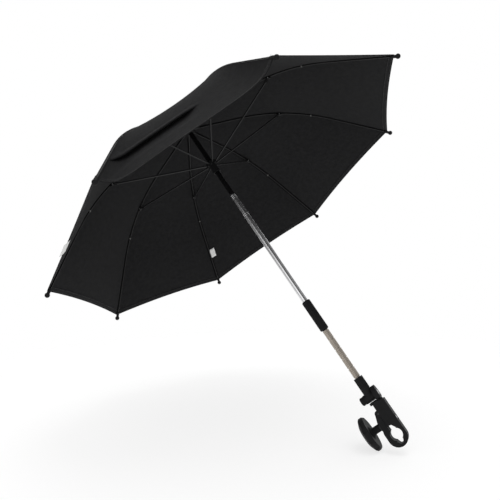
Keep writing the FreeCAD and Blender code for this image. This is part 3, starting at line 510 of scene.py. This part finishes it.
def make_stitches(k, material):
    """Stitching of hem and seam on one share of the canopy."""
    build = bmesh.new()
    for row in (HEM_STITCH_FROM_EDGE, HEM_WIDTH - HEM_STITCH_FROM_FOLD):
        share = 1 - row / CLOTH_LENGTH
        for lift, flip in ((CLOTH_THICKNESS, 1), (-HEM_FOLD, -1)):
            points = []
            for step in range(STITCH_LINE_STEPS + 1):
                point, normal = cloth_point(k, share, 2 * step / STITCH_LINE_STEPS - 1, lift)
                points.append((point, normal * flip))
            stitch_line(build, points)
    for side in (-1, 1):
        points = []
        for step in range(SEAM_STITCH_FIRST_STEP, STITCH_LINE_STEPS + 1):
            share = step / STITCH_LINE_STEPS * (1 - HEM_WIDTH / CLOTH_LENGTH)
            across = side * SEAM_STITCH_SHARE * SEAM_WIDTH / half_width(share)
            points.append(cloth_point(k, share, across, CLOTH_THICKNESS + SEAM_RISE))
        stitch_line(build, points)
    return make_object(f"canopy_stitches_{k}", build, material)


def rim_of(grid):
    """The outer vertices of a grid, in order round it."""
    right = [line[-1] for line in grid[1:]]
    left = [line[0] for line in grid[-2:0:-1]]
    return grid[0] + right + grid[-1][-2::-1] + left


def make_label(name, corner, across, along, lift, material):
    """A small bare woven label of two layers, closed at its free end."""
    build = bmesh.new()
    thickness = along.cross(across).normalized() * LABEL_HALF_THICKNESS
    grids = []
    for layer in (1, -1):
        grid = []
        for i in range(LABEL_ROWS + 1):
            share = i / LABEL_ROWS
            curl = lift * share * share
            pinch = 1 - smooth((share - (1 - LABEL_PINCH_SHARE)) / LABEL_PINCH_SHARE)
            line = []
            for j in range(LABEL_COLUMNS + 1):
                place = corner + across * (j / LABEL_COLUMNS) + along * share + curl
                line.append(build.verts.new(place + thickness * layer * pinch))
            grid.append(line)
        for i in range(LABEL_ROWS):
            for j in range(LABEL_COLUMNS):
                build.faces.new((grid[i][j], grid[i][j + 1], grid[i + 1][j + 1], grid[i + 1][j])[::layer])
        grids.append(grid)
    upper, lower = (rim_of(grid) for grid in grids)
    for i in range(len(upper)):
        build.faces.new((upper[i - 1], lower[i - 1], lower[i], upper[i]))
    bmesh.ops.remove_doubles(build, verts=build.verts, dist=WELD_DISTANCE)
    bmesh.ops.recalc_face_normals(build, faces=build.faces)
    return make_object(name, build, material)


def new_material(name, colour, roughness, metallic=0.0):
    material = bpy.data.materials.new(name)
    material.use_nodes = True
    nodes = material.node_tree.nodes
    shader = nodes["Principled BSDF"]
    shader.inputs["Base Color"].default_value = (*colour, 1)
    shader.inputs["Roughness"].default_value = roughness
    shader.inputs["Metallic"].default_value = metallic
    return material, nodes, material.node_tree.links, shader


def object_place(nodes):
    return nodes.new("ShaderNodeTexCoord").outputs["Object"]


def noise(nodes, links, source, scale, detail=2.0):
    texture = nodes.new("ShaderNodeTexNoise")
    texture.inputs["Scale"].default_value = scale
    texture.inputs["Detail"].default_value = detail
    links.new(source, texture.inputs["Vector"])
    return texture.outputs["Fac"]


def spread(nodes, links, value, low, high):
    """Maps a 0 to 1 value to a range."""
    node = nodes.new("ShaderNodeMapRange")
    node.inputs["To Min"].default_value = low
    node.inputs["To Max"].default_value = high
    links.new(value, node.inputs["Value"])
    return node.outputs["Result"]


def paint(nodes, links, shader, value, dark, light):
    """Gives the shader a colour between dark and light, by a 0 to 1 value."""
    node = nodes.new("ShaderNodeValToRGB")
    node.color_ramp.elements[0].color = (*dark, 1)
    node.color_ramp.elements[1].color = (*light, 1)
    links.new(value, node.inputs["Fac"])
    links.new(node.outputs["Color"], shader.inputs["Base Color"])


def roughen(nodes, links, shader, value, low, high):
    links.new(spread(nodes, links, value, low, high), shader.inputs["Roughness"])


def bump(nodes, links, shader, height, strength, depth):
    node = nodes.new("ShaderNodeBump")
    node.inputs["Strength"].default_value = strength
    node.inputs["Distance"].default_value = depth
    links.new(height, node.inputs["Height"])
    links.new(node.outputs["Normal"], shader.inputs["Normal"])
    return node


def math_node(nodes, links, operation, first, second):
    node = nodes.new("ShaderNodeMath")
    node.operation = operation
    for socket, term in zip(node.inputs, (first, second)):
        if isinstance(term, float):
            socket.default_value = term
        else:
            links.new(term, socket)
    return node.outputs["Value"]


def cloth_material(name, dark, light):
    """Black plain-woven cloth, mottled by paler fibres."""
    material, nodes, links, shader = new_material(name, (light, light, light), roughness=0.85)
    place = nodes.new("ShaderNodeUVMap")
    place.uv_map = "cloth"
    flat = place.outputs["UV"]
    threads = []
    for direction in ("X", "Y"):
        wave = nodes.new("ShaderNodeTexWave")
        wave.bands_direction = direction
        wave.inputs["Scale"].default_value = 300.0
        wave.inputs["Distortion"].default_value = 0.6
        wave.inputs["Detail"].default_value = 1.0
        links.new(flat, wave.inputs["Vector"])
        threads.append(wave.outputs["Fac"])
    weave = math_node(nodes, links, "MULTIPLY", threads[0], threads[1])
    slub = noise(nodes, links, flat, scale=260.0, detail=4.0)
    half_weave = math_node(nodes, links, "MULTIPLY", weave, 0.5)
    half_slub = math_node(nodes, links, "MULTIPLY", slub, 0.5)
    mixed = math_node(nodes, links, "ADD", half_weave, half_slub)
    fibres = noise(nodes, links, flat, scale=110.0, detail=3.0)
    mottle = spread(nodes, links, fibres, low=-0.25, high=0.25)
    tone = math_node(nodes, links, "ADD", mixed, mottle)
    paint(nodes, links, shader, tone, (dark, dark, dark * CLOTH_BLUE), (light, light, light * CLOTH_BLUE))
    roughen(nodes, links, shader, slub, low=0.75, high=0.95)
    shader.inputs["Sheen Weight"].default_value = 0.03
    shader.inputs["Sheen Roughness"].default_value = 0.45
    shader.inputs["Specular IOR Level"].default_value = 0.06
    bump(nodes, links, shader, mixed, strength=0.5, depth=0.0004)
    return material


def thread_material():
    material, nodes, links, shader = new_material("black_thread", (0.018, 0.018, 0.019), roughness=0.7)
    twist = noise(nodes, links, object_place(nodes), scale=2500.0)
    paint(nodes, links, shader, twist, dark=(0.012, 0.012, 0.0125), light=(0.035, 0.035, 0.036))
    shader.inputs["Sheen Weight"].default_value = 0.2
    return material


def tie_material():
    """Undyed twisted thread."""
    material, nodes, links, shader = new_material("pale_thread", (0.4, 0.4, 0.38), roughness=0.8)
    twist = noise(nodes, links, object_place(nodes), scale=4000.0)
    paint(nodes, links, shader, twist, dark=(0.10, 0.10, 0.096), light=(0.24, 0.24, 0.23))
    bump(nodes, links, shader, twist, strength=0.4, depth=0.0001)
    return material


def label_material():
    """Bare white satin tape."""
    material, nodes, links, shader = new_material("white_tape", (0.8, 0.8, 0.79), roughness=0.55)
    grain = noise(nodes, links, object_place(nodes), scale=1500.0)
    paint(nodes, links, shader, grain, dark=(0.72, 0.72, 0.71), light=(0.84, 0.84, 0.83))
    bump(nodes, links, shader, grain, strength=0.3, depth=0.0002)
    return material


def plastic_material():
    """Satin black moulding with a fine spark-eroded grain and softened edges."""
    material, nodes, links, shader = new_material("black_moulding", (0.022, 0.022, 0.023), roughness=0.42)
    place = object_place(nodes)
    grain = noise(nodes, links, place, scale=1800.0, detail=3.0)
    cloud = noise(nodes, links, place, scale=60.0, detail=3.0)
    paint(nodes, links, shader, cloud, dark=(0.010, 0.010, 0.0104), light=(0.019, 0.019, 0.0197))
    roughen(nodes, links, shader, cloud, low=0.46, high=0.6)
    shader.inputs["Specular IOR Level"].default_value = 0.06
    node = bump(nodes, links, shader, grain, strength=0.25, depth=0.0002)
    edge = nodes.new("ShaderNodeBevel")
    edge.samples = 4
    edge.inputs["Radius"].default_value = 0.0007
    links.new(edge.outputs["Normal"], node.inputs["Normal"])
    return material


def metal_material(name, dark, light, roughness, grain, metallic=1.0, turned=0.0):
    """Metal with fine drawn lines along the shaft and slight stains.

    Turned metal draws its highlights out along the shaft.
    """
    material, nodes, links, shader = new_material(name, light, roughness, metallic)
    place = object_place(nodes)
    stretch = nodes.new("ShaderNodeMapping")
    stretch.inputs["Scale"].default_value = (1.0, 1.0, 0.03)
    links.new(place, stretch.inputs["Vector"])
    lines = noise(nodes, links, stretch.outputs["Vector"], scale=grain, detail=3.0)
    stains = noise(nodes, links, place, scale=90.0, detail=3.0)
    paint(nodes, links, shader, stains, dark, light)
    roughen(nodes, links, shader, lines, low=roughness * 0.6, high=roughness * 1.4)
    bump(nodes, links, shader, lines, strength=0.08, depth=0.0001)
    if turned:
        round_shaft = nodes.new("ShaderNodeTangent")
        round_shaft.direction_type = "RADIAL"
        round_shaft.axis = "Z"
        links.new(round_shaft.outputs["Tangent"], shader.inputs["Tangent"])
        shader.inputs["Anisotropic"].default_value = turned
        shader.inputs["Anisotropic Rotation"].default_value = 0.25
    return material


def enamel_material(name, dark, light, roughness, gloss=0.25):
    """Sprayed enamel with a slight orange peel."""
    material, nodes, links, shader = new_material(name, light, roughness)
    place = object_place(nodes)
    peel = noise(nodes, links, place, scale=700.0)
    cloud = noise(nodes, links, place, scale=80.0)
    paint(nodes, links, shader, cloud, dark, light)
    roughen(nodes, links, shader, peel, low=roughness * 0.8, high=roughness * 1.2)
    shader.inputs["Specular IOR Level"].default_value = gloss
    bump(nodes, links, shader, peel, strength=0.1, depth=0.0001)
    return material


def dress_nodes(cloth):
    """Gives every solid the finish of its slot in the record, or a plain black gloss."""
    finishes = {"black_plastic": plastic_material(), "canopy_cloth": cloth}
    for slot, looks in METALS.items():
        finishes[slot] = metal_material(slot, **looks)
    for slot, looks in ENAMELS.items():
        finishes[slot] = enamel_material(**looks)
    dark_finish = enamel_material(**BLACK_FINISH)
    for part in frame["record"]["subparts"]:
        node = frame["nodes"][part["node"]]
        node.data.materials.clear()
        finish = dark_finish if part["node"] in BLACK_PIECES else finishes[part["material_slot"]]
        node.data.materials.append(finish)


def fold_with_rib(piece, k):
    """A piece of the cloth swings with rib k, on a mesh of its own."""
    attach(piece, f"rib_arm_{k}")
    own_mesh(piece)


def make_canopy(cloth):
    """Eight shares of cloth, one on each rib, with their seams, tapes and stitches."""
    thread = thread_material()
    # The tape's tone, darker than the cloth, is partly painted shade along each rib
    tape = cloth_material("tape_and_painted_rib_shade", *TAPE_AND_RIB_SHADE_TONES)
    for k in range(1, RIB_COUNT + 1):
        pieces = [make_cloth(k, cloth), make_seam(k, cloth), make_tape(k, tape), make_stitches(k, thread)]
        for piece in pieces:
            fold_with_rib(piece, k)
        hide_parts(f"canopy_panel_{k}")


def make_hem_label(tape):
    """A bare tape sewn under the hem."""
    share = HEM_LABEL_SHARE
    start, normal = cloth_point(HEM_LABEL_RIB, share, HEM_LABEL_ACROSS, -HEM_FOLD)
    inner = cloth_point(HEM_LABEL_RIB, share - LABEL_STEP, HEM_LABEL_ACROSS, -HEM_FOLD)[0]
    beside = cloth_point(HEM_LABEL_RIB, share, HEM_LABEL_ACROSS + LABEL_STEP, -HEM_FOLD)[0]
    across = (beside - start).normalized() * HEM_LABEL_WIDTH
    along = (start - inner).normalized() * HEM_LABEL_LENGTH
    label = make_label("hem_label", start, across, along, normal * LABEL_LIFT, tape)
    fold_with_rib(label, HEM_LABEL_RIB)


def make_seam_label(tape):
    """A bare tape sewn beside a seam, inside the canopy."""
    share = SEAM_LABEL_SHARE
    root = -(RIB_RADIUS + CLOTH_GAP) / half_width(share)
    start, normal = cloth_point(SEAM_LABEL_RIB, share, root, -TAPE_RISE)
    beyond = cloth_point(SEAM_LABEL_RIB, share + LABEL_STEP, root, -TAPE_RISE)[0]
    beside = cloth_point(SEAM_LABEL_RIB, share, root - LABEL_STEP, -TAPE_RISE)[0]
    across = (beyond - start).normalized() * SEAM_LABEL_WIDTH
    along = (beside - start).normalized() * SEAM_LABEL_LENGTH
    label = make_label("seam_label", start, across, along, -normal * LABEL_LIFT, tape)
    fold_with_rib(label, SEAM_LABEL_RIB)


def make_labels():
    tape = label_material()
    make_hem_label(tape)
    make_seam_label(tape)


def make_tie(k, material):
    """A few turns of thread round rib k."""
    radius, height, slope = rib_line(TIE_DISTANCE)
    centre = SHAFT_FOOT + outward(k) * radius
    centre.z = height
    along = outward(k) * math.cos(slope) - Vector((0, 0, math.sin(slope)))
    side = tangent(k)
    up = side.cross(along)
    build = bmesh.new()
    rings = []
    steps = TIE_TURN_STEPS * TIE_TURNS
    for step in range(steps + 1):
        turn = 2 * math.pi * TIE_TURNS * step / steps
        reach = side * math.cos(turn) + up * math.sin(turn)
        place = centre + reach * (RIB_RADIUS + TIE_THREAD) + along * (TIE_PITCH * TIE_TURNS * step / steps)
        rings.append(add_ring(build, place, reach * TIE_THREAD, along * TIE_THREAD, THREAD_CORNERS))
    close_tube(build, rings)
    bmesh.ops.recalc_face_normals(build, faces=build.faces)
    return make_object(f"rib_tie_{k}", build, material)


def make_rivet_heads(k, material):
    """The two domed heads of the rivet of rib k and its stretcher."""
    centre = Vector(JOINTS[f"stretcher_fold_{k}"]["pos_m"])
    build = bmesh.new()
    for side in (tangent(k), -tangent(k)):
        across = outward(k)
        up = side.cross(across)
        rings = []
        for level in range(RIVET_HEAD_LEVELS):
            turn = math.pi / 2 * level / RIVET_HEAD_LEVELS
            radius = RIVET_HEAD_RADIUS * math.cos(turn)
            place = centre + side * (FORK_HALF_WIDTH + RIVET_HEAD_RISE * math.sin(turn))
            rings.append(add_ring(build, place, across * radius, up * radius, RIVET_HEAD_CORNERS))
        close_tube(build, rings)
    bmesh.ops.recalc_face_normals(build, faces=build.faces)
    return make_object(f"rivet_heads_{k}", build, material)


def make_small_parts():
    """The ties and the rivets' heads."""
    thread = tie_material()
    steel = metal_material(**RIVET_STEEL)
    for k in range(1, RIB_COUNT + 1):
        tie = make_tie(k, thread)
        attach(tie, f"rib_arm_{k}")
        heads = make_rivet_heads(k, steel)
        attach(heads, f"stretcher_arm_{k}")


def view_axes():
    """Right, up and forward of the photograph's camera."""
    flat = math.cos(VIEW_ELEVATION)
    back = Vector((math.sin(VIEW_AZIMUTH) * flat, -math.cos(VIEW_AZIMUTH) * flat, math.sin(VIEW_ELEVATION)))
    ahead = -back
    level = ahead.cross(Vector((0, 0, 1))).normalized()
    raised = level.cross(ahead)
    right = level * math.cos(VIEW_ROLL) + raised * math.sin(VIEW_ROLL)
    return right, right.cross(ahead), ahead


def make_camera():
    right, up, ahead = view_axes()
    data = bpy.data.cameras.new("camera")
    data.lens = VIEW_LENS
    data.clip_start = VIEW_CLIP
    camera = bpy.data.objects.new("camera", data)
    bpy.context.collection.objects.link(camera)
    turn = Matrix((right, up, -ahead)).transposed()
    camera.matrix_world = Matrix.Translation(VIEW_AIM - ahead * VIEW_DISTANCE) @ turn.to_4x4()
    bpy.context.scene.camera = camera


def floor_up():
    """Upright of the floor in the photograph, which the camera looks down on a little."""
    _, up, ahead = view_axes()
    return up * math.cos(FLOOR_PITCH) - ahead * math.sin(FLOOR_PITCH)


def lowest(up):
    """How far along up the solids' lowest point lies."""
    return min(vertex.co.dot(up) for node in frame["nodes"].values() for vertex in node.data.vertices)


def floor_material():
    """Near white, and clear from behind and towards its edge; it keeps the object's shadow."""
    material = bpy.data.materials.new("floor_white")
    material.use_nodes = True
    nodes = material.node_tree.nodes
    links = material.node_tree.links
    nodes.clear()
    out = nodes.new("ShaderNodeOutputMaterial")
    white = nodes.new("ShaderNodeBsdfDiffuse")
    white.inputs["Color"].default_value = (FLOOR_TONE, FLOOR_TONE, FLOOR_TONE, 1)
    glow = nodes.new("ShaderNodeEmission")
    glow.inputs["Strength"].default_value = FLOOR_GLOW
    both = nodes.new("ShaderNodeAddShader")
    links.new(white.outputs["BSDF"], both.inputs[0])
    links.new(glow.outputs["Emission"], both.inputs[1])
    clear = nodes.new("ShaderNodeBsdfTransparent")
    fade = nodes.new("ShaderNodeTexGradient")
    fade.gradient_type = "SPHERICAL"
    links.new(object_place(nodes), fade.inputs["Vector"])
    solid = spread(nodes, links, fade.outputs["Fac"], low=0.0, high=FLOOR_FADE)
    front = nodes.new("ShaderNodeNewGeometry")
    facing = math_node(nodes, links, "SUBTRACT", 1.0, front.outputs["Backfacing"])
    share = math_node(nodes, links, "MULTIPLY", solid, facing)
    mix = nodes.new("ShaderNodeMixShader")
    links.new(share, mix.inputs["Fac"])
    links.new(clear.outputs["BSDF"], mix.inputs[1])
    links.new(both.outputs["Shader"], mix.inputs[2])
    links.new(mix.outputs["Shader"], out.inputs["Surface"])
    return material


def make_floor():
    """A floor that touches the object's lowest point, upright in the photograph's view."""
    up = floor_up()
    drop = lowest(up) - FLOOR_CENTRE.dot(up) - FLOOR_GAP
    build = bmesh.new()
    bmesh.ops.create_grid(build, x_segments=1, y_segments=1, size=FLOOR_REACH)
    floor = make_object("floor", build, floor_material(), smooth_faces=False)
    turn = up.to_track_quat("Z", "Y").to_matrix()
    floor.matrix_world = Matrix.Translation(FLOOR_CENTRE + up * drop) @ turn.to_4x4()


def add_light(name, place, size, power):
    data = bpy.data.lights.new(name, "AREA")
    data.shape = "DISK"
    data.size = size
    data.energy = power
    light = bpy.data.objects.new(name, data)
    bpy.context.collection.objects.link(light)
    light.location = place
    light.rotation_euler = (LIGHT_AIM - place).to_track_quat("-Z", "Y").to_euler()


def make_lights():
    right, _, ahead = view_axes()
    up = floor_up()
    for name, ((aside, above, beyond), size, power) in LIGHTS.items():
        add_light(name, LIGHT_AIM + up * above + ahead * beyond + right * aside, size, power)


def make_world():
    """White to the camera, and toned walls to bright metal."""
    world = bpy.data.worlds.new("studio")
    world.use_nodes = True
    nodes = world.node_tree.nodes
    links = world.node_tree.links
    sky = nodes["Background"]
    path = nodes.new("ShaderNodeLightPath")
    seen = math_node(nodes, links, "MAXIMUM", path.outputs["Is Camera Ray"], path.outputs["Is Glossy Ray"])
    seen = math_node(nodes, links, "MAXIMUM", seen, path.outputs["Is Transmission Ray"])
    links.new(spread(nodes, links, seen, WORLD_STRENGTH, BACKGROUND_STRENGTH), sky.inputs["Strength"])
    place = nodes.new("ShaderNodeTexCoord")
    around = nodes.new("ShaderNodeTexGradient")
    around.gradient_type = "RADIAL"
    links.new(place.outputs["Generated"], around.inputs["Vector"])
    walls = nodes.new("ShaderNodeValToRGB")
    links.new(around.outputs["Fac"], walls.inputs["Fac"])
    stops = walls.color_ramp.elements
    while len(stops) < len(STUDIO_WALLS):
        stops.new(1.0)
    for stop, (turn, tone) in zip(stops, STUDIO_WALLS):
        stop.position = turn
        stop.color = (tone, tone, tone, 1)
    mix = nodes.new("ShaderNodeMix")
    mix.data_type = "RGBA"
    mix.inputs["A"].default_value = (1, 1, 1, 1)
    links.new(path.outputs["Is Glossy Ray"], mix.inputs["Factor"])
    links.new(walls.outputs["Color"], mix.inputs["B"])
    links.new(mix.outputs["Result"], sky.inputs["Color"])
    bpy.context.scene.world = world


bpy.context.scene.view_settings.view_transform = "Standard"
black_cloth = cloth_material("black_cloth", *CLOTH_TONES)
dress_nodes(black_cloth)
make_canopy(black_cloth)
make_labels()
make_small_parts()
make_camera()
make_floor()
make_lights()
make_world()
